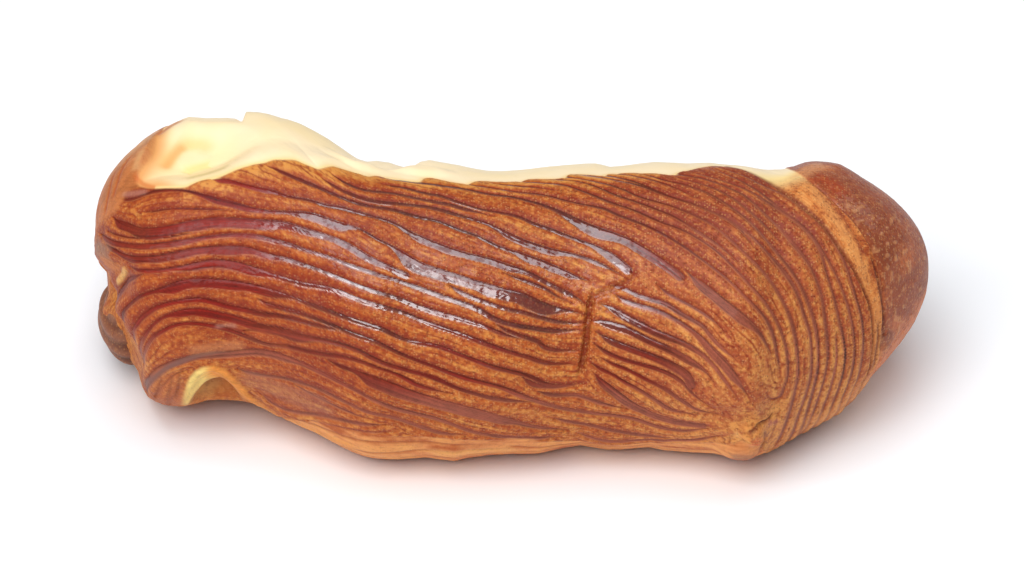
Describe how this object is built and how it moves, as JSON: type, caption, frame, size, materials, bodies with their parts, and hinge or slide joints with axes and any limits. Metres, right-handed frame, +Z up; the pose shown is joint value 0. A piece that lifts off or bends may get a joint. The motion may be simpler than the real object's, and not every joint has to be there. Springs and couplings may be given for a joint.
{
  "type": "croissant",
  "caption": "Long baked croissant with a scored, striped wrap, a blunt rolled end, a bare seam along the top and a smooth tapered nose.",
  "frame": {"origin": "middle of the bottom of the box round the croissant, on the surface that it rests on", "axes": "+X along the roll towards the tapered nose, +Y towards the back, +Z up"},
  "size_m": [0.1706, 0.0748, 0.0614],
  "materials": {
    "crust": "baked, egg-glazed crust, satin with glossy bands"
  },
  "bodies": {
    "root": {"croissant": "crust"}
  },
  "joints": []
}
